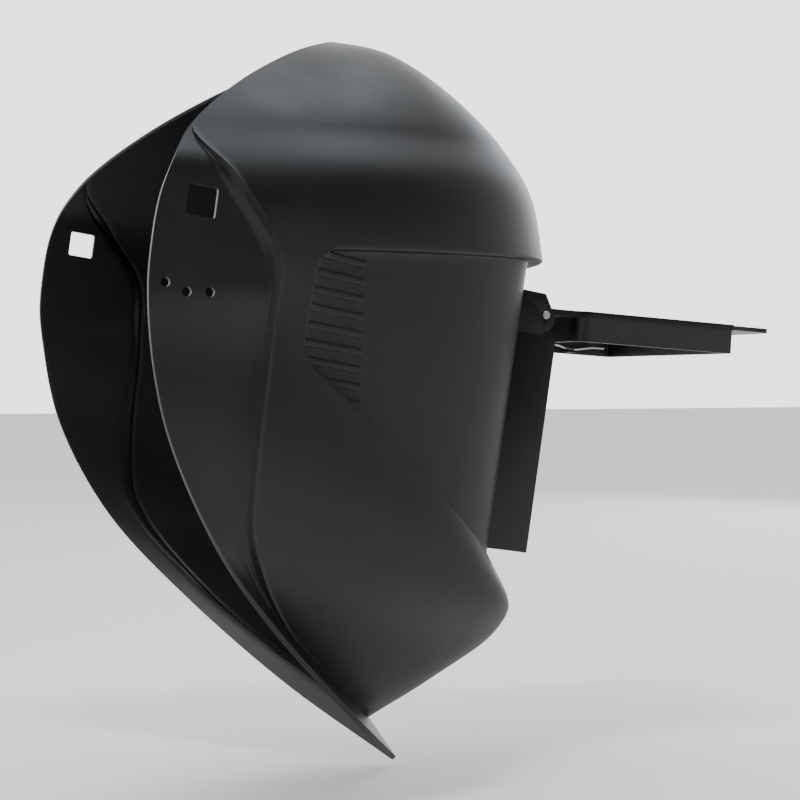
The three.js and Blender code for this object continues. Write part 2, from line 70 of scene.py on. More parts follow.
# ---------- the shell's lines, in millimetres ----------
# Stations run up the shell from the tip (0) to the crown (12), one for each point of the rim. A
# rim or rib point is x, half-width, z; a profile point is x, z on the mid plane, and its fullness
# is the half-width towards which its row swells on its way to the front.
RIM = [
    (136, 0, -264.5), (93, 44.5, -229), (45.5, 72.5, -182.4), (10, 95.5, -140.5),
    (-13, 104.4, -94), (-21.6, 106.5, -47), (-20.7, 108, -17), (-14.5, 107, 10),
    (-0.5, 96, 33.5), (27, 76, 56.8), (60, 53, 76.8), (89, 27, 89.4), (101, 0, 93),
]
RIB = [
    (120.8, 0, -242.8), (98.4, 26, -224.5), (53.5, 58, -184), (24, 91, -143),
    (21, 102.5, -105), (27.8, 105, -47), (27, 111, -18.5), (11, 111, 8),
]
CHIN_PROFILE = [
    (120.8, -242.8), (147.6, -222.5), (166.5, -204.5), (169.4, -187.5), (164, -174.2), (155.2, -160.5),
]
DOME_PROFILE = [
    (202, -15.5), (197, 16), (184, 40.5), (162.5, 61.5), (140, 78.5), (122, 89), (101, 93),
]
CHIN_FULLNESS = [0, 34, 60, 80, 88, 88]
DOME_FULLNESS = [92, 90, 84, 72, 52, 26, 0]
# The cheek's curve leaves the rib for this share of the way forward, drawn in to this share of
# its half-width.
CHEEK_REACH = 0.58
CHEEK_PINCH = 0.99
# Stations of the window band's lower ledge, of the brow above it, of the crown and of the rib's
# upper end.
DIAGONAL = 5
LEDGE = 6
TOP = 12
RIB_TOP = 8
# The rib's crest stands this far out from its foot, and this far forward of it.
RIB_STEP = 3
RIB_BAND = 4.5
# The rib's section: two beads with a groove between. Share of the way from foot to crest, height.
RIB_PROFILE = ((0, 0.7), (0.14, 0.55), (0.3, 0.05), (0.5, -0.25), (0.7, 0.05), (0.87, 0.6), (1, 0.8))
# How the rib rises beside its foot and falls beside its crest: distance, height.
RIB_FOOT = ((2.2, 0), (1.4, 0.15), (0.7, 0.5))
RIB_CREST = ((0.7, 0.6), (1.4, 0.2), (2.3, 0))
# The stations over which each form grows, and those over which it fades again.
RIB_SPAN = (1.5, 3), (7.2, RIB_TOP)
BEAD_SPAN = (1, 2.6), (7.75, RIB_TOP)
LAND_SPAN = (4.6, 5.4), (7, 7.8)
FLAT_SPAN = (0.4, 4), (DIAGONAL, LEDGE)
# Half-width of the flat land round the headgear holes.
LAND_W = 109
WALL = 2.5
RIM_EDGE_R = 0.6

# The sunk window band: its rear edge at the lower ledge and at the brow, its height along that
# edge, its depth, and the rounding of its two rear corners.
BAND_REAR_X = (45, 50.5)
BAND_HEIGHT = 40
BAND_DEPTH = 2.2
UPPER_CORNER_R = 6
LOWER_CORNER = (2.6, 3.7)
# The band's side bends here on its way to the flat front: share of the length, of the width.
BAND_BEND = (0.6, 0.28)
BAND_WALL = 1.1
BAND_EDGE_R = 0.7
CHIN_EDGE_R = 1.3
LEDGE_HOLLOW_R = 1
# The window's centre, x and z, and its lean, with the top forward.
WINDOW_CENTRE = (163.1, -100)
WINDOW_LEAN = math.radians(9)
# Half-width of the flat front, the share of the row where the side gives way to it, and how far
# out the curve of the band's front corner is drawn.
FLAT_HALF = 60
SIDE_END = 0.72
CORNER_PULL = 22
OPENING = (100, 76)
OPENING_CORNER_R = 4
SCREW_AT = (50.5, 46.8)
SCREW_HOLE_R = 1.9
SQUARE_HOLE = 12.7
SQUARE_CORNER_R = 1.1
SQUARE_TILT = math.radians(8)
STOP_HOLE_R = 2
STOP_HOLES = [(-15.4, -33.2), (-6.4, -36.9), (3.4, -36.9)]
CUTTER_DEPTH = 18
SIDE_CUTTER_DEPTH = 20

# The raised bars in the rear of the window band: the front end of the highest one, their slope,
# how deep they are set into the skin, and the rounding of their edges.
LOUVRE_TOP = (73.8, -21.8)
LOUVRE_SLOPE = -0.155
LOUVRE_ROOT = 0.001
LOUVRE_EDGE_R = 0.00045

# ---------- how finely the shell is drawn ----------
# The stations of the rows, which stand closer together at the tip, the ledges and the crown.
TIP_ROWS = [0, 0.2]
LOW_ROWS = (0.4, DIAGONAL - 0.1)
BAND_ROWS = (5.018, 5.962)
HIGH_ROWS = (LEDGE + 0.25, TOP - 0.35)
CROWN_ROWS = [TOP - 0.2, TOP - 0.1, TOP - 0.03, TOP]
ROWS_BELOW_BAND = 34
ROWS_IN_BAND = 29
ROWS_ABOVE_BAND = 44
# The neighbours that round a ledge: stations away from the band, and the share of that inwards.
CHIN_AWAY = -0.06
BROW_AWAY = 0.14
HOLLOW_SHARE = 0.2
# Shares of the way from the rim to the rib's foot, and the least width that they are spread over.
FLANGE_PLACES = (0, 0.045, 0.11, 0.2, 0.32, 0.46, 0.6, 0.74, 0.86)
NARROWEST_FLANGE = 20
# The plain stretch from rib to band keeps these distances from the two.
CHEEK_START = 3.4
CHEEK_STOP = 1.6
CHEEK_STEPS = 5
# Where the plain side starts past the band's rear edge, and the points that the rear wall's two
# bends turn from and to: millimetres behind and ahead of it, or a share of the band.
BAND_START = 2.2
BODY_BEHIND = 3
BODY_AHEAD = 4
BAND_AHEAD = 0.03
LIP_STEPS = 3
LEDGE_STEPS = 5
HOLLOW_STEPS = 3
EDGE_HALVINGS = 24
NORMAL_BLURS = 24
LOUVRE_STEPS = 14
# A louvre's line is sampled by rays from outside, until the skin jumps at the band's rear wall.
SKIN_STEP = 0.5
LOUVRE_OVERRUN = 4
OUTSIDE = 0.2
WALL_JUMP = 0.00045
# The least length that a row counts as when millimetres are turned into shares of it.
SLOWEST = 60
# Points closer together than these, in metres, become one.
WELD = 3e-5
MIRROR_WELD = 2e-5
CAD_WELD = 2e-6
SMOOTH_BELOW = math.radians(32)
FLAT_WITHIN = math.radians(1)

# ---------- stage ----------
FLOOR_HALF = 9
FLOOR_GAP = 0.002
LIT_POINT = (0.1, 0, -0.08)
# Name, place, width and height, power in watts, colour.
LIGHTS = (
    ("key", (0.6, 0.05, 1.3), (0.7, 0.5), 5.5, (0.88, 0.94, 1)),
    ("front_strip", (1.4, 1.0, 0.5), (0.8, 1.2), 8, (0.82, 0.91, 1)),
    ("side_fill", (-1.3, -1.2, 0.9), (0.8, 0.8), 1.5, (1, 0.98, 0.95)),
    ("top_strip", (-0.1, -0.5, 1.5), (0.45, 0.25), 12, (0.9, 0.95, 1)),
)
# The room's light: how much height counts against the direction to the wearer's left, and how
# the sum of the two becomes the room's strength.
ROOM_LEAN = -0.9
ROOM_RAMP = {"From Min": -0.9, "From Max": 0.5, "To Min": 0.06, "To Max": 2.6}
CAMERA_EYE = (-0.18304, -0.69864, -0.07384)
CAMERA_TARGET = (0.1383, 0, -0.0825)
CAMERA_LENS = 67.9
CAMERA_SENSOR = 36


# ---------- properties ----------
class HelmetSizes(bpy.types.PropertyGroup):
    """Sizes that a user would change."""
    louvres: bpy.props.IntProperty(
        name="Louvres", description="Raised bars on each side", default=9, min=1, max=9)
    louvre_pitch: bpy.props.FloatProperty(
        name="Louvre pitch", description="Distance from one bar to the next", default=0.0075, unit="LENGTH")
    louvre_height: bpy.props.FloatProperty(
        name="Louvre bar", description="Width of one raised bar", default=0.003, unit="LENGTH")
    louvre_rise: bpy.props.FloatProperty(
        name="Louvre rise", description="How far a bar stands out", default=0.001, unit="LENGTH")
    brow_radius: bpy.props.FloatProperty(
        name="Brow radius", description="Rounding of the brow's lower edge", default=0.0035, unit="LENGTH")
    edge_radius: bpy.props.FloatProperty(
        name="Edge radius", description="Rounding of moulded edges", default=0.0005, unit="LENGTH")


class HelmetColours(bpy.types.PropertyGroup):
    """Colours and finishes that a user would change."""
    shell: bpy.props.FloatVectorProperty(
        name="Shell", description="Colour of the shell's plastic",
        subtype="COLOR", default=(0.0082, 0.0086, 0.0094))
    holder: bpy.props.FloatVectorProperty(
        name="Holder", description="Colour of the holder and lift front",
        subtype="COLOR", default=(0.0050, 0.0051, 0.0055))
    shell_roughness: bpy.props.FloatProperty(
        name="Shell roughness", description="0 is a mirror, 1 is chalk",
        subtype="FACTOR", default=0.46, min=0, max=1)
    holder_roughness: bpy.props.FloatProperty(
        name="Holder roughness", description="0 is a mirror, 1 is chalk",
        subtype="FACTOR", default=0.4, min=0, max=1)
    filter_tint: bpy.props.FloatVectorProperty(
        name="Filter", description="Colour of the dark filter",
        subtype="COLOR", default=(0.002, 0.006, 0.003))


def sizes():
    return bpy.context.scene.helmet_sizes


def colours():
    return bpy.context.scene.helmet_colours


# ---------- material graph ----------
class Value:
    """A shader socket with arithmetic: an expression on values adds its Math nodes."""

    def __init__(self, graph, socket):
        self.graph = graph
        self.socket = socket

    def math(self, operation, *inputs):
        return self.graph.node("ShaderNodeMath", {"operation": operation}, dict(enumerate(inputs)))

    def __add__(self, other):
        return self.math("ADD", self, other)

    def __sub__(self, other):
        return self.math("SUBTRACT", self, other)

    def __rsub__(self, other):
        return self.math("SUBTRACT", other, self)

    def __mul__(self, other):
        return self.math("MULTIPLY", self, other)

    __radd__ = __add__
    __rmul__ = __mul__


class Graph:
    """One material's nodes."""

    def __init__(self, name):
        self.material = bpy.data.materials.new(name)
        self.material.use_nodes = True
        self.tree = self.material.node_tree
        self.shader = self.tree.nodes["Principled BSDF"]

    def node(self, kind, settings=None, inputs=None, output=0):
        made = self.tree.nodes.new(kind)
        for key, value in (settings or {}).items():
            if key == "stops":
                ramp_stops(made.color_ramp, value)
            else:
                setattr(made, key, value)
        for key, value in (inputs or {}).items():
            if isinstance(value, Value):
                self.tree.links.new(value.socket, made.inputs[key])
            else:
                made.inputs[key].default_value = value
        return Value(self, made.outputs[output])

    def place(self, scale=(1, 1, 1), turn=(0, 0, 0)):
        """The piece's own coordinates in metres, turned and then stretched for a pattern."""
        where = self.node("ShaderNodeTexCoord", output="Object")
        return self.node("ShaderNodeMapping", {}, {"Vector": where, "Scale": scale, "Rotation": turn})

    def noise(self, where, scale=1.0, detail=3.0, roughness=0.55, distortion=0.0):
        return self.node("ShaderNodeTexNoise", {}, {
            "Vector": where, "Scale": scale, "Detail": detail, "Roughness": roughness,
            "Distortion": distortion})

    def mask(self, value, low, high):
        """0 where the value is below low, 1 where it is above high."""
        return self.node("ShaderNodeValToRGB", {"stops": [(low, 0), (high, 1)]}, {"Fac": value})

    def between(self, factor, low, high):
        """A colour mix: low where factor is 0, high where it is 1."""
        return self.node("ShaderNodeMix", {"data_type": "RGBA"}, {0: factor, 6: low, 7: high}, output=2)

    def bump(self, height, distance, strength=1.0, under=None):
        inputs = {"Height": height, "Distance": distance, "Strength": strength}
        if under:
            inputs["Normal"] = under
        return self.node("ShaderNodeBump", {}, inputs)

    def set(self, **sockets):
        for key, value in sockets.items():
            target = self.shader.inputs[key.replace("_", " ")]
            if isinstance(value, Value):
                self.tree.links.new(value.socket, target)
            else:
                target.default_value = value
        return self.material


def ramp_stops(ramp, stops):
    while len(ramp.elements) < len(stops):
        ramp.elements.new(1.0)
    for element, (position, grey) in zip(ramp.elements, stops):
        element.position = position
        element.color = (grey, grey, grey, 1)


def rgba(colour, gain=1.0):
    return tuple(min(c * gain, 1) for c in colour) + (1,)


def moulded_plastic(name, colour, roughness, grain_size, grain_depth):
    """Injection-moulded black plastic: a fine spark-eroded grain, flow marks and handling haze."""
    g = Graph(name)
    where = g.place()
    along_flow = g.place(scale=(9, 9, 30), turn=(0.1, 0.25, 0))
    along_rubs = g.place(scale=(40, 40, 420), turn=(0.3, 0.5, 0.2))
    grain = g.noise(where, scale=1 / grain_size, detail=2.0, roughness=0.6)
    flow = g.noise(along_flow, detail=4.0, distortion=0.6)
    haze = g.mask(g.noise(where, scale=26, detail=5.0, roughness=0.6), low=0.38, high=0.66)
    dust = g.mask(g.noise(where, scale=900, detail=2.0, roughness=0.7), low=0.68, high=0.8)
    rubs = g.mask(g.noise(along_rubs), low=0.66, high=0.78)
    body = g.between(flow, rgba(colour, 0.86), rgba(colour, 1.18))
    worn = g.between(dust * 0.25 + rubs * 0.18, body, rgba(colour, 2.6))
    rough = haze * 0.07 + grain * 0.06 + rubs * 0.05 + (roughness - 0.07)
    waves = g.bump(g.noise(where, scale=16, detail=2.0), distance=0.0005, strength=0.25)
    surface = g.bump(grain, distance=grain_depth, strength=0.5, under=waves)
    return g.set(Base_Color=worn, Roughness=rough, Normal=surface, Specular_IOR_Level=0.36)


def plated_steel(name, colour, roughness):
    """Bright zinc plate: a fine crystalline mottle and light scratches."""
    g = Graph(name)
    where = g.place()
    across_lines = g.place(scale=(300, 4000, 300), turn=(0.4, 0.2, 0.9))
    mottle = g.noise(where, scale=700, roughness=0.65)
    scratches = g.mask(g.noise(across_lines, detail=2.0), low=0.6, high=0.7)
    tone = g.between(mottle, rgba(colour, 0.8), rgba(colour, 1.15))
    return g.set(
        Base_Color=tone, Metallic=1.0, Roughness=mottle * 0.2 + scratches * 0.12 + (roughness - 0.1),
        Normal=g.bump(scratches, distance=0.00003, strength=0.4))


def drawn_wire(name, colour):
    """Spring wire: dark drawn steel with fine lines, drawn out along the wearer's left and right."""
    g = Graph(name)
    lines = g.noise(g.place(scale=(3000, 400, 3000)), detail=2.0)
    return g.set(
        Base_Color=g.between(lines, rgba(colour, 0.7), rgba(colour, 1.2)), Metallic=1.0,
        Roughness=lines * 0.25 + 0.25, Normal=g.bump(lines, distance=0.00002, strength=0.5))


def gasket_rubber(name):
    """Black sponge rubber: fine pores and a pale bloom."""
    g = Graph(name)
    where = g.place()
    pores = g.noise(where, scale=1500)
    bloom = g.mask(g.noise(where, scale=60, detail=4.0), low=0.4, high=0.7)
    return g.set(
        Base_Color=g.between(bloom, (0.010, 0.010, 0.010, 1), (0.022, 0.022, 0.021, 1)),
        Roughness=pores * 0.2 + 0.68, Normal=g.bump(pores, distance=0.00005, strength=0.5))


def clear_plate(name):
    """Clear polycarbonate with wiping haze and faint hairline scratches."""
    g = Graph(name)
    where = g.place()
    across_hairs = g.place(scale=(60, 900, 90), turn=(0.5, 0.1, 0.4))
    smears = g.noise(where, scale=34, detail=4.0, roughness=0.6, distortion=0.8)
    smears = g.mask(smears, low=0.42, high=0.72)
    hairs = g.mask(g.noise(across_hairs, detail=2.0), low=0.66, high=0.7)
    return g.set(
        Base_Color=(0.93, 0.96, 0.95, 1), Roughness=smears * 0.05 + hairs * 0.05 + 0.03,
        Normal=g.bump(hairs, distance=0.00002, strength=0.3), Transmission_Weight=1.0, IOR=1.58)


def dark_filter(name, colour):
    """A very dark green filter with a polished face."""
    g = Graph(name)
    where = g.place()
    smears = g.noise(where, scale=40, detail=4.0, roughness=0.6, distortion=0.7)
    smears = g.mask(smears, low=0.4, high=0.75)
    ripple = g.noise(where, scale=12, detail=2.0)
    return g.set(
        Base_Color=g.between(smears, rgba(colour), rgba(colour, 2.2)), Roughness=smears * 0.08 + 0.05,
        Coat_Weight=0.4, Normal=g.bump(ripple, distance=0.0002, strength=0.15))


MATERIALS = {}


def material(slot):
    """The material of one finish, made the first time that a piece asks for it."""
    if slot not in MATERIALS:
        c = colours()
        makers = {
            "shell_plastic": lambda: moulded_plastic(
                slot, tuple(c.shell), c.shell_roughness, grain_size=0.00042, grain_depth=0.00006),
            "holder_plastic": lambda: moulded_plastic(
                slot, tuple(c.holder), c.holder_roughness, grain_size=0.0003, grain_depth=0.00004),
            "zinc_steel": lambda: plated_steel(slot, (0.62, 0.63, 0.65), 0.32),
            "spring_wire": lambda: drawn_wire(slot, (0.5, 0.5, 0.52)),
            "gasket_rubber": lambda: gasket_rubber(slot),
            "clear_plate": lambda: clear_plate(slot),
            "filter_glass": lambda: dark_filter(slot, tuple(c.filter_tint)),
        }
        MATERIALS[slot] = makers[slot]()
    return MATERIALS[slot]


# ---------- mesh helpers ----------
def to_object(bm, name, sharp=SMOOTH_BELOW):
    """A new object from a bmesh, smooth except over its sharp edges."""
    mesh = bpy.data.meshes.new(name)
    bm.to_mesh(mesh)
    bm.free()
    made = bpy.data.objects.new(name, mesh)
    smooth(made, sharp)
    bpy.context.scene.collection.objects.link(made)
    return made


def boolean(target, tool, operation):
    """Cuts or joins two closed solids, then removes the tool."""
    modifier = target.modifiers.new(operation.lower(), "BOOLEAN")
    modifier.operation = operation
    modifier.solver = "EXACT"
    modifier.object = tool
    bpy.context.view_layer.update()
    graph = bpy.context.evaluated_depsgraph_get()
    result = bpy.data.meshes.new_from_object(target.evaluated_get(graph))
    target.modifiers.clear()
    target.data = result
    bpy.data.objects.remove(tool)


def smooth(target, sharp=SMOOTH_BELOW):
    target.data.shade_smooth()
    target.data.set_sharp_from_angle(angle=sharp)


def hand_over(piece, slot, body, *nodes):
    """Gives a finished piece its material and its body, and hides the CAD nodes that it stands for."""
    piece.data.materials.clear()
    piece.data.materials.append(material(slot))
    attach(piece, body)
    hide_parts(*nodes)


def bevelled(bm, edges, radius, segments=2):
    """Rounds the edges."""
    bmesh.ops.bevel(
        bm, geom=edges, offset=radius, offset_type="OFFSET", segments=segments, profile=0.5,
        affect="EDGES", material=-1, clamp_overlap=True, loop_slide=True)


def verts_in(geom):
    return [item for item in geom if isinstance(item, bmesh.types.BMVert)]


def corners_of(bm, least=math.radians(40)):
    """The edges where two faces meet at an angle greater than least."""
    return [e for e in bm.edges if len(e.link_faces) == 2 and e.calc_face_angle() > least]


def cad_copy(node):
    """A CAD node's mesh, to be worked on, with its faces joined along their edges."""
    bm = bmesh.new()
    bm.from_mesh(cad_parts[node].data)
    bmesh.ops.remove_doubles(bm, verts=bm.verts[:], dist=CAD_WELD)
    return bm


def softened(node, radius):
    """A copy of a CAD node with its flat faces joined up and its edges rounded."""
    bm = cad_copy(node)
    bmesh.ops.dissolve_limit(bm, angle_limit=FLAT_WITHIN, verts=bm.verts[:], edges=bm.edges[:])
    bevelled(bm, corners_of(bm), radius, 3)
    return to_object(bm, f"{node}_finished", math.radians(19))


def rounded_wire(node, end_radius=0.00015):
    """A copy of a CAD wire, smooth all round and with softened ends."""
    bm = cad_copy(node)
    bevelled(bm, corners_of(bm, math.radians(70)), end_radius)
    return to_object(bm, f"{node}_finished", math.radians(60))


# ---------- shell surface ----------
def smoothstep(value, low, high):
    t = min(max((value - low) / (high - low), 0), 1)
    return t * t * (3 - 2 * t)


def presence(v, span):
    """1 on the stations where a form is whole, falling smoothly to 0 past both ends."""
    grows, fades = span
    return smoothstep(v, *grows) * (1 - smoothstep(v, *fades))


def lerp(a, b, t):
    return a + (b - a) * t


def fractions(count):
    """The shares 0 to 1 in equal steps."""
    return [i / count for i in range(count + 1)]


def catmull(points, place):
    """The point at a place, counted in points, on a smooth curve through all of them."""
    i = min(int(place), len(points) - 2)
    u = place - i
    p1, p2 = points[i], points[i + 1]
    p0 = points[i - 1] if i else 2 * p1 - p2
    p3 = points[i + 2] if i + 2 < len(points) else 2 * p2 - p1
    return 0.5 * (
        2 * p1 + (p2 - p0) * u + (2 * p0 - 5 * p1 + 4 * p2 - p3) * u * u
        + (3 * p1 - p0 - 3 * p2 + p3) * u ** 3)


def crossing(points):
    """Adds the mirrored point past the mid plane, so that the curve crosses it squarely."""
    x, half, z = points[TOP - 1]
    return [Vector(p) for p in points + [(x, -half, z)]]


RIM_LINE = crossing(RIM)
RIB_LINE = crossing(RIB + RIM[RIB_TOP:])
CHIN_LINE = [Vector((x, full, z)) for (x, z), full in zip(CHIN_PROFILE, CHIN_FULLNESS)]
DOME_LINE = [Vector((x, full, z)) for (x, z), full in zip(DOME_PROFILE, DOME_FULLNESS)]


def front_of(v):
    """A station's front end: x and z on the mid plane, and in y how full its row is there."""
    if v <= DIAGONAL:
        return catmull(CHIN_LINE, v)
    if v >= LEDGE:
        return catmull(DOME_LINE, v - LEDGE)
    return CHIN_LINE[-1].lerp(DOME_LINE[0], v - DIAGONAL)


def bezier(t, p0, p1, p2, p3):
    s = 1 - t
    return p0 * (s * s * s) + p1 * (3 * s * s * t) + p2 * (3 * s * t * t) + p3 * (t * t * t)


def towards(point, target, distance):
    """The point moved towards a target, by a little less than half of the way at most."""
    way = target - point
    if way.length < 1e-6:
        return point.copy()
    return point + way * min(distance / way.length, 0.48)


def fillet(before, corner, after, radius, steps):
    """Points that round a corner between two stretches."""
    start = towards(corner, before, radius)
    end = towards(corner, after, radius)
    return [start.lerp(corner, k).lerp(corner.lerp(end, k), k) for k in fractions(steps)]


class Station:
    """One row of the shell, from its rim to the mid plane, on the wearer's right."""

    def __init__(self, v):
        self.v = v
        self.rise = 0.5 * RIB_STEP * presence(v, RIB_SPAN)
        self.beads = presence(v, BEAD_SPAN)
        self.rib = catmull(RIB_LINE if v < RIB_TOP else RIM_LINE, v)
        self.front = front_of(v)
        along = Vector((self.front.x - self.rib.x, 0, self.front.z - self.rib.z))
        start = self.rib + along.normalized() * (RIB_BAND * presence(v, RIB_SPAN))
        start.y += self.rise
        shoulder = start + along * CHEEK_REACH
        shoulder.y = start.y * CHEEK_PINCH
        self.flat = FLAT_HALF * presence(v, FLAT_SPAN)
        self.corner = lerp(1, SIDE_END, self.flat / FLAT_HALF)
        end = Vector((self.front.x, self.flat, self.front.z))
        self.controls = (start, shoulder, self.front, end)
        # Millimetres along the body for each unit of t, as it leaves the rib.
        self.speed = max(3 * CHEEK_REACH * along.length / self.corner, SLOWEST)
        self.rear = self.rear_edge()

    def body(self, t):
        """From the rib (0) round the side to the mid plane (1)."""
        if t > self.corner:
            return Vector((self.front.x, self.flat * (1 - t) / (1 - self.corner), self.front.z))
        return bezier(t / self.corner, *self.controls)

    def rear_edge(self):
        """The place on the row where the window band's rear edge crosses it.

        Rows below and above the band keep the place of the nearest ledge's own row.
        """
        station = min(max(self.v, DIAGONAL), LEDGE)
        if station != self.v:
            return STATIONS_AT_EDGE[station].rear
        x = lerp(BAND_REAR_X[0], BAND_REAR_X[1], station - DIAGONAL)
        above = (station - DIAGONAL) * BAND_HEIGHT
        below = (LEDGE - station) * BAND_HEIGHT
        if below < UPPER_CORNER_R:
            r = UPPER_CORNER_R
            x += r - math.sqrt(r * r - (r - below) ** 2)
        shift, reach = LOWER_CORNER
        x += shift * max(1 - above / reach, 0) ** 2
        low, high = 0.0, 1.0
        for _ in range(EDGE_HALVINGS):
            middle = (low + high) / 2
            if self.body(middle).x < x:
                low = middle
            else:
                high = middle
        return low

    def raised(self, point, height):
        """A point of the rib, pushed outward where the rib is at its full strength."""
        point = point.copy()
        point.y += height * self.beads
        return point

    def flange(self, f):
        """From the rim (0) to the foot of the rib (1), flat round the headgear holes."""
        rim = catmull(RIM_LINE, self.v)
        foot = self.rib.copy()
        foot.y -= self.rise
        point = rim.lerp(foot, f)
        point.y = lerp(point.y, LAND_W, presence(self.v, LAND_SPAN))
        return point

    def band(self, s, rear):
        """The sunk band, from its rear (0) round the corner to the flat front (1, 2)."""
        z = self.front.z
        x = WINDOW_CENTRE[0] + (z - WINDOW_CENTRE[1]) * math.tan(WINDOW_LEAN)
        if s > 1:
            return Vector((x, FLAT_HALF * (2 - s), z))
        shoulder = rear.lerp(Vector((x, 0, z)), BAND_BEND[0])
        shoulder.y = lerp(rear.y, FLAT_HALF, BAND_BEND[1])
        return bezier(s, rear, shoulder, Vector((x, FLAT_HALF + CORNER_PULL, z)), Vector((x, FLAT_HALF, z)))

    def row(self, sunk):
        """The row's points from rim to mid plane, following the sunk band or the body."""
        step = 1 / self.speed
        foot = self.flange(1)
        crest = self.body(0)
        width = max((foot - self.flange(0)).length, NARROWEST_FLANGE)
        row = [self.flange(f) for f in FLANGE_PLACES]
        row += [self.raised(self.flange(1 - d / width), h) for d, h in RIB_FOOT]
        row += [self.raised(foot.lerp(crest, k), h) for k, h in RIB_PROFILE]
        row += [self.raised(self.body(d * step), h) for d, h in RIB_CREST]
        begin, end = CHEEK_START * step, self.rear - CHEEK_STOP * step
        row += [self.body(lerp(begin, end, k)) for k in fractions(CHEEK_STEPS)]
        edge = self.body(self.rear)
        wall_foot = self.body(self.rear + BAND_WALL * step)
        if sunk:
            wall_foot.y -= BAND_DEPTH
        ahead = self.band(BAND_AHEAD, wall_foot) if sunk else self.body(self.rear + BODY_AHEAD * step)
        behind = self.body(self.rear - BODY_BEHIND * step)
        row += fillet(behind, edge, wall_foot, BAND_EDGE_R, LIP_STEPS)
        row += fillet(edge, wall_foot, ahead, BAND_EDGE_R, LIP_STEPS)
        if sunk:
            return row + [self.band(s, wall_foot) for s in SIDE + [1 + s for s in FACE]]
        row += [self.body(lerp(self.rear + BAND_START * step, SIDE_END, s)) for s in SIDE]
        return row + [self.body(lerp(SIDE_END, 1, s)) for s in FACE]


# Shares of the way round the band's or the body's side, closer together at the rear, and across
# its front.
SIDE = [0.012 + 0.988 * k ** 1.15 for k in fractions(30)]
FACE = fractions(9)[1:]
# The two ledges' own stations, filled in before the others are made.
STATIONS_AT_EDGE = {}


def ledge_rows(v, away, radius):
    """Rows round a ledge between the body and the sunk band, listed from the body inwards.

    The edge is rounded between the station away from the band and the ledge's own, and the
    hollow between the ledge's and one a little way into the band.
    """
    plain = STATIONS_AT_EDGE[v].row(False)
    sunk = STATIONS_AT_EDGE[v].row(True)
    outside = Station(v + away).row(False)
    inside = Station(v - HOLLOW_SHARE * away).row(True)
    round_edge = [fillet(*three, radius, LEDGE_STEPS) for three in zip(outside, plain, sunk)]
    hollow = [fillet(*three, LEDGE_HOLLOW_R, HOLLOW_STEPS) for three in zip(plain, sunk, inside)]
    return [list(row) for row in zip(*round_edge)] + [list(row) for row in zip(*hollow)]


def shell_rows(brow_radius):
    """All rows from tip to crown."""
    for v in (DIAGONAL, LEDGE):
        STATIONS_AT_EDGE[v] = Station(v)
    low = TIP_ROWS + [lerp(*LOW_ROWS, k) for k in fractions(ROWS_BELOW_BAND)]
    high = [lerp(*HIGH_ROWS, k) for k in fractions(ROWS_ABOVE_BAND)] + CROWN_ROWS
    rows = [Station(v).row(False) for v in low]
    rows += ledge_rows(DIAGONAL, CHIN_AWAY, CHIN_EDGE_R)
    for k in fractions(ROWS_IN_BAND):
        eased = (1 - math.cos(math.pi * k)) / 2
        rows.append(Station(lerp(*BAND_ROWS, eased)).row(True))
    rows += reversed(ledge_rows(LEDGE, BROW_AWAY, brow_radius / MM))
    rows += [Station(v).row(False) for v in high]
    return rows


def outer_sheet(brow_radius):
    """The shell's outer skin: a grid moved onto the rows, then mirrored."""
    rows = shell_rows(brow_radius)
    across = len(rows[0])
    bm = bmesh.new()
    bmesh.ops.create_grid(bm, x_segments=across - 1, y_segments=len(rows) - 1, size=1)
    for vert in bm.verts:
        i = round((vert.co.x + 1) / 2 * (across - 1))
        j = round((vert.co.y + 1) / 2 * (len(rows) - 1))
        point = rows[j][i]
        vert.co = Vector((point.x, -max(point.y, 0), point.z)) * MM
    bmesh.ops.remove_doubles(bm, verts=bm.verts[:], dist=WELD)
    everything = bm.verts[:] + bm.edges[:] + bm.faces[:]
    bmesh.ops.mirror(bm, geom=everything, axis="Y", merge_dist=MIRROR_WELD)
    bmesh.ops.remove_doubles(bm, verts=bm.verts[:], dist=WELD)
    bmesh.ops.recalc_face_normals(bm, faces=bm.faces[:])
    furthest = max(bm.faces, key=lambda face: face.calc_center_median().x)
    if furthest.normal.x < 0:
        bmesh.ops.reverse_faces(bm, faces=bm.faces[:])
    bm.normal_update()
    return bm


def thicken(bm, wall):
    """Adds the inner skin along smoothed normals, closes the rim and rounds its edges."""
    # A point and its copy on the inner skin carry the same number.
    twin = bm.verts.layers.int.new("twin")
    for i, vert in enumerate(bm.verts):
        vert[twin] = i
    normals = [vert.normal.copy() for vert in bm.verts]
    for _ in range(NORMAL_BLURS):
        blurred = []
        for vert in bm.verts:
            total = normals[vert[twin]].copy()
            for edge in vert.link_edges:
                total += normals[edge.other_vert(vert)[twin]]
            blurred.append(total.normalized())
        normals = blurred
    inner = bmesh.ops.extrude_face_region(bm, geom=bm.faces[:], use_keep_orig=True)["geom"]
    for vert in verts_in(inner):
        side = vert.co.y
        vert.co -= normals[vert[twin]] * wall
        if side * vert.co.y < 0:
            vert.co.y = 0
    bmesh.ops.recalc_face_normals(bm, faces=bm.faces[:])
    rim = {face for face in bm.faces if len({vert[twin] for vert in face.verts}) < len(face.verts)}
    edges = [edge for edge in bm.edges if len([face for face in edge.link_faces if face in rim]) == 1]
    bevelled(bm, edges, RIM_EDGE_R * MM)


def in_window_frame():
    """Turns a tool drawn at the origin, x outward, into the leaning window's place."""
    x, z = WINDOW_CENTRE
    return Matrix.Translation((x * MM, 0, z * MM)) @ Matrix.Rotation(WINDOW_LEAN, 4, "Y")


def add_rod(bm, radius, length, matrix, sides):
    bmesh.ops.create_cone(
        bm, cap_ends=True, segments=sides, radius1=radius, radius2=radius, depth=length, matrix=matrix)


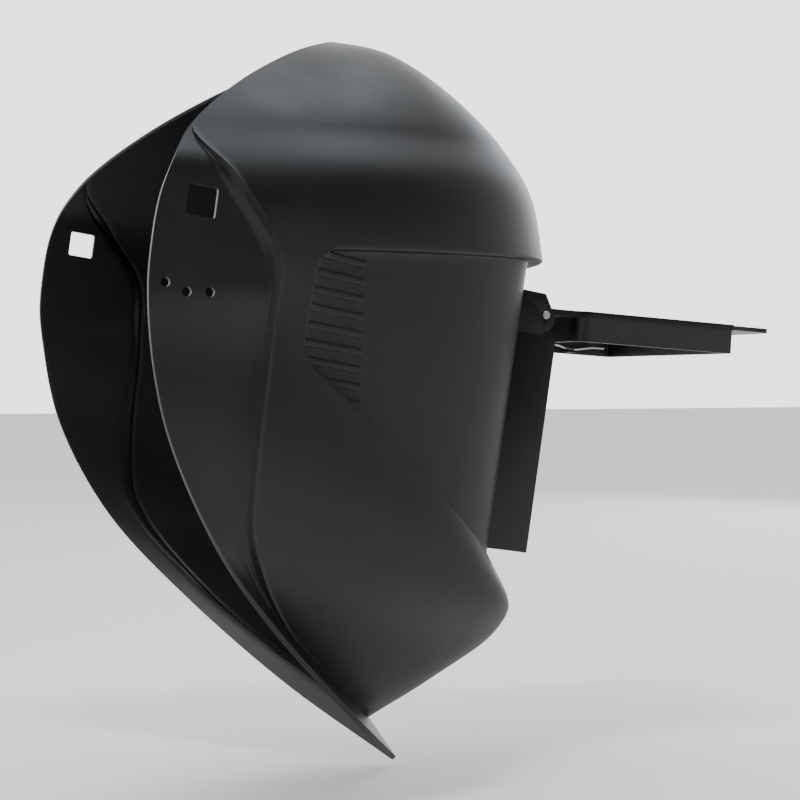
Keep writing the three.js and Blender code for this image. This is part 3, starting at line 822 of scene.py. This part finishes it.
def add_block(bm, size, through, corner, steps, matrix):
    """A block, its size in millimetres, with its edges along one direction rounded."""
    block = Matrix.Diagonal([length * MM for length in size] + [1])
    verts = bmesh.ops.create_cube(bm, size=1, matrix=matrix @ block)["verts"]
    way = matrix.to_3x3() @ Vector(through)
    edges = {edge for vert in verts for edge in vert.link_edges}
    along = [e for e in edges if abs((e.verts[0].co - e.verts[1].co).normalized().dot(way)) > 0.9]
    bevelled(bm, along, corner * MM, steps)


def shell_cutters():
    """Window, screw holes, square headgear holes and stop holes, as one set of closed solids."""
    bm = bmesh.new()
    place = in_window_frame()
    add_block(bm, (CUTTER_DEPTH, *OPENING), (1, 0, 0), OPENING_CORNER_R, 5, place)
    square = (SQUARE_HOLE, SIDE_CUTTER_DEPTH, SQUARE_HOLE)
    for side in (-1, 1):
        for end in (-1, 1):
            spot = Matrix.Translation((0, side * SCREW_AT[0] * MM, end * SCREW_AT[1] * MM))
            turned = place @ spot @ Matrix.Rotation(math.pi / 2, 4, "Y")
            add_rod(bm, SCREW_HOLE_R * MM, CUTTER_DEPTH * MM, turned, 20)
        tilted = Matrix.Translation((0, side * LAND_W * MM, 0)) @ Matrix.Rotation(SQUARE_TILT, 4, "Y")
        add_block(bm, square, (0, 1, 0), SQUARE_CORNER_R, 3, tilted)
    for x, z in STOP_HOLES:
        spot = Matrix.Translation((x * MM, -LAND_W * MM, z * MM))
        turned = spot @ Matrix.Rotation(math.pi / 2, 4, "X")
        add_rod(bm, STOP_HOLE_R * MM, SIDE_CUTTER_DEPTH * MM, turned, 24)
    return to_object(bm, "shell_cutters")


def louvre_line(skin, z_at_end, end, rise):
    """Points along one edge of a louvre bar, from the band's wall forward, on the skin."""
    found = []
    x = end
    while x > BAND_REAR_X[0] - LOUVRE_OVERRUN:
        z = z_at_end + LOUVRE_SLOPE * (x - end)
        hit = skin.ray_cast(Vector((x * MM, -OUTSIDE, z * MM)), Vector((0, 1, 0)))[0]
        if hit is None or (found and abs(hit.y - found[-1].y) > WALL_JUMP):
            break
        found.append(hit)
        x -= SKIN_STEP
    if len(found) < 3:
        return None
    tail = found[-1] + (found[-1] - found[-2]) * 2
    return [Vector((p.x, p.y - rise, p.z)) for p in [tail] + found[::-1]]


def louvre_bar(upper, lower, depth):
    """One bar between its two edge lines: a strip on the skin, given depth and rounded edges."""
    bar = bmesh.new()
    bmesh.ops.create_grid(bar, x_segments=LOUVRE_STEPS, y_segments=1, size=1)
    for vert in bar.verts:
        line = upper if vert.co.y > 0 else lower
        place = (vert.co.x + 1) / 2 * (len(line) - 1)
        vert.co = line[int(place)].lerp(line[min(int(place) + 1, len(line) - 1)], place % 1)
    sunk = bmesh.ops.extrude_face_region(bar, geom=bar.faces[:])["geom"]
    bmesh.ops.translate(bar, verts=verts_in(sunk), vec=(0, depth, 0))
    bmesh.ops.recalc_face_normals(bar, faces=bar.faces[:])
    bevelled(bar, corners_of(bar), LOUVRE_EDGE_R, 3)
    mesh = bpy.data.meshes.new("bar")
    bar.to_mesh(mesh)
    bar.free()
    return mesh


def louvres(skin):
    """The raised bars, moulded onto the skin at the rear of the window band, on both sides."""
    s = sizes()
    bm = bmesh.new()
    end, top = LOUVRE_TOP
    for i in range(s.louvres):
        z = top - i * s.louvre_pitch / MM
        upper = louvre_line(skin, z, end, s.louvre_rise)
        lower = louvre_line(skin, z - s.louvre_height / MM, end, s.louvre_rise)
        if upper and lower:
            mesh = louvre_bar(upper, lower, s.louvre_rise + LOUVRE_ROOT)
            bm.from_mesh(mesh)
            bpy.data.meshes.remove(mesh)
    copy = bmesh.ops.duplicate(bm, geom=bm.verts[:] + bm.edges[:] + bm.faces[:])["geom"]
    bmesh.ops.scale(bm, vec=(1, -1, 1), verts=verts_in(copy))
    bmesh.ops.reverse_faces(bm, faces=[item for item in copy if isinstance(item, bmesh.types.BMFace)])
    return to_object(bm, "louvre_bars")


# ---------- operators ----------
class HELMET_OT_shell(bpy.types.Operator):
    """Builds the moulded shell with its rib, brow, window band, louvres and holes"""
    bl_idname = "helmet.shell"
    bl_label = "Shell"

    def execute(self, context):
        sheet = outer_sheet(sizes().brow_radius)
        skin = BVHTree.FromBMesh(sheet)
        thicken(sheet, WALL * MM)
        shell = to_object(sheet, "shell")
        boolean(shell, shell_cutters(), "DIFFERENCE")
        boolean(shell, louvres(skin), "UNION")
        smooth(shell)
        hand_over(shell, "shell_plastic", "helmet", "helmet_shell")
        return {"FINISHED"}


class HELMET_OT_holder(bpy.types.Operator):
    """Builds the lens holder box on the shell's front"""
    bl_idname = "helmet.holder"
    bl_label = "Lens holder box"

    def execute(self, context):
        box = softened("lens_holder_box", sizes().edge_radius)
        hand_over(box, "holder_plastic", "helmet", "lens_holder_box")
        return {"FINISHED"}


class HELMET_OT_window(bpy.types.Operator):
    """Builds the frame, gasket, clear plate and spring inside the window"""
    bl_idname = "helmet.window"
    bl_label = "Window plates"

    def execute(self, context):
        for node, slot, radius in (
                ("inner_plate_frame", "holder_plastic", 0.0004),
                ("inner_plate_gasket", "gasket_rubber", 0.0002),
                ("clear_safety_plate", "clear_plate", 0.0003)):
            hand_over(softened(node, radius), slot, "helmet", node)
        hand_over(rounded_wire("inner_plate_spring"), "spring_wire", "helmet", "inner_plate_spring")
        return {"FINISHED"}


class HELMET_OT_fasteners(bpy.types.Operator):
    """Builds the four screws that clamp the holder, with their washers and nuts"""
    bl_idname = "helmet.fasteners"
    bl_label = "Screws, washers and nuts"

    def execute(self, context):
        for kind, radius in (("screw", 0.0002), ("washer", 0.0001), ("nut", 0.00025)):
            for i in range(1, 5):
                node = f"holder_{kind}_{i}"
                hand_over(softened(node, radius), "zinc_steel", "helmet", node)
        return {"FINISHED"}


class HELMET_OT_hinge(bpy.types.Operator):
    """Builds the hinge pin and its two friction washers"""
    bl_idname = "helmet.hinge"
    bl_label = "Hinge pin and washers"

    def execute(self, context):
        for node in ("hinge_pin", "friction_washer_right", "friction_washer_left"):
            hand_over(softened(node, radius=0.0002), "zinc_steel", "helmet", node)
        return {"FINISHED"}


class HELMET_OT_lift_front(bpy.types.Operator):
    """Builds the lift front with its plates, gasket and springs"""
    bl_idname = "helmet.lift_front"
    bl_label = "Lift front"

    def execute(self, context):
        for node, slot, radius in (
                ("lift_front_frame", "holder_plastic", 0.0004),
                ("filter_gasket", "gasket_rubber", 0.0002),
                ("outer_cover_plate", "clear_plate", 0.0002),
                ("dark_filter_plate", "filter_glass", 0.0003)):
            hand_over(softened(node, radius), slot, "lift_front", node)
        for node in ("filter_spring_right", "filter_spring_left"):
            hand_over(rounded_wire(node), "spring_wire", "lift_front", node)
        return {"FINISHED"}


def facing(place, target):
    """The turn that points a light or camera at a target."""
    return (Vector(target) - Vector(place)).to_track_quat("-Z", "Y").to_euler()


def area_light(name, place, size, power, colour):
    """A soft rectangular light, turned to the helmet."""
    data = bpy.data.lights.new(name, "AREA")
    data.shape = "RECTANGLE"
    data.size, data.size_y = size
    data.energy = power
    data.color = colour
    lamp = bpy.data.objects.new(name, data)
    lamp.location = place
    lamp.rotation_euler = facing(place, LIT_POINT)
    bpy.context.scene.collection.objects.link(lamp)


def studio_world():
    """A white room, bright over the wearer's left and near the floor, and darker overhead and right."""
    world = bpy.data.worlds.new("studio")
    world.use_nodes = True
    tree = world.node_tree
    where = tree.nodes.new("ShaderNodeTexCoord")
    split = tree.nodes.new("ShaderNodeSeparateXYZ")
    tree.links.new(where.outputs["Generated"], split.inputs[0])
    lean = tree.nodes.new("ShaderNodeMath")
    lean.operation = "MULTIPLY_ADD"
    tree.links.new(split.outputs["Z"], lean.inputs[0])
    lean.inputs[1].default_value = ROOM_LEAN
    tree.links.new(split.outputs["Y"], lean.inputs[2])
    ramp = tree.nodes.new("ShaderNodeMapRange")
    for key, value in ROOM_RAMP.items():
        ramp.inputs[key].default_value = value
    tree.links.new(lean.outputs[0], ramp.inputs["Value"])
    tree.links.new(ramp.outputs[0], tree.nodes["Background"].inputs["Strength"])
    tree.nodes["Background"].inputs["Color"].default_value = (1, 1, 1, 1)
    return world


class HELMET_OT_stage(bpy.types.Operator):
    """Builds the pale floor, the soft studio light and the camera"""
    bl_idname = "helmet.stage"
    bl_label = "Stage, light and camera"

    def execute(self, context):
        scene = context.scene
        bm = bmesh.new()
        bmesh.ops.create_grid(bm, x_segments=2, y_segments=2, size=FLOOR_HALF)
        bmesh.ops.translate(bm, verts=bm.verts[:], vec=(0, 0, CAD_BOX[0][2] - FLOOR_GAP))
        floor = to_object(bm, "studio_floor")
        g = Graph("pale_floor")
        floor.data.materials.append(g.set(
            Base_Color=(0.9, 0.9, 0.9, 1), Roughness=0.9,
            Emission_Color=(1, 1, 1, 1), Emission_Strength=0.22))
        for light in LIGHTS:
            area_light(*light)
        scene.world = studio_world()
        data = bpy.data.cameras.new("camera")
        data.lens = CAMERA_LENS
        data.sensor_width = CAMERA_SENSOR
        camera = bpy.data.objects.new("camera", data)
        camera.location = CAMERA_EYE
        camera.rotation_euler = facing(CAMERA_EYE, CAMERA_TARGET)
        scene.collection.objects.link(camera)
        scene.camera = camera
        return {"FINISHED"}


class HELMET_PT_panel(bpy.types.Panel):
    """The helmet's sizes, colours and building steps"""
    bl_idname = "HELMET_PT_panel"
    bl_label = "Welding Helmet"
    bl_space_type = "VIEW_3D"
    bl_region_type = "UI"
    bl_category = "Helmet"

    def draw(self, context):
        for group in (context.scene.helmet_sizes, context.scene.helmet_colours):
            box = self.layout.box()
            for key in group.__annotations__:
                box.prop(group, key)
        for step in STEPS:
            self.layout.operator(step.bl_idname)


STEPS = (
    HELMET_OT_shell, HELMET_OT_holder, HELMET_OT_window, HELMET_OT_fasteners, HELMET_OT_hinge,
    HELMET_OT_lift_front, HELMET_OT_stage,
)
CLASSES = (HelmetSizes, HelmetColours, HELMET_PT_panel) + STEPS


def register():
    for item in CLASSES:
        bpy.utils.register_class(item)
    bpy.types.Scene.helmet_sizes = bpy.props.PointerProperty(type=HelmetSizes)
    bpy.types.Scene.helmet_colours = bpy.props.PointerProperty(type=HelmetColours)


def unregister():
    del bpy.types.Scene.helmet_colours
    del bpy.types.Scene.helmet_sizes
    for item in reversed(CLASSES):
        bpy.utils.unregister_class(item)


def main():
    register()
    bpy.ops.helmet.shell()
    bpy.ops.helmet.holder()
    bpy.ops.helmet.window()
    bpy.ops.helmet.fasteners()
    bpy.ops.helmet.hinge()
    bpy.ops.helmet.lift_front()
    bpy.ops.helmet.stage()


if __name__ == "__main__":
    main()
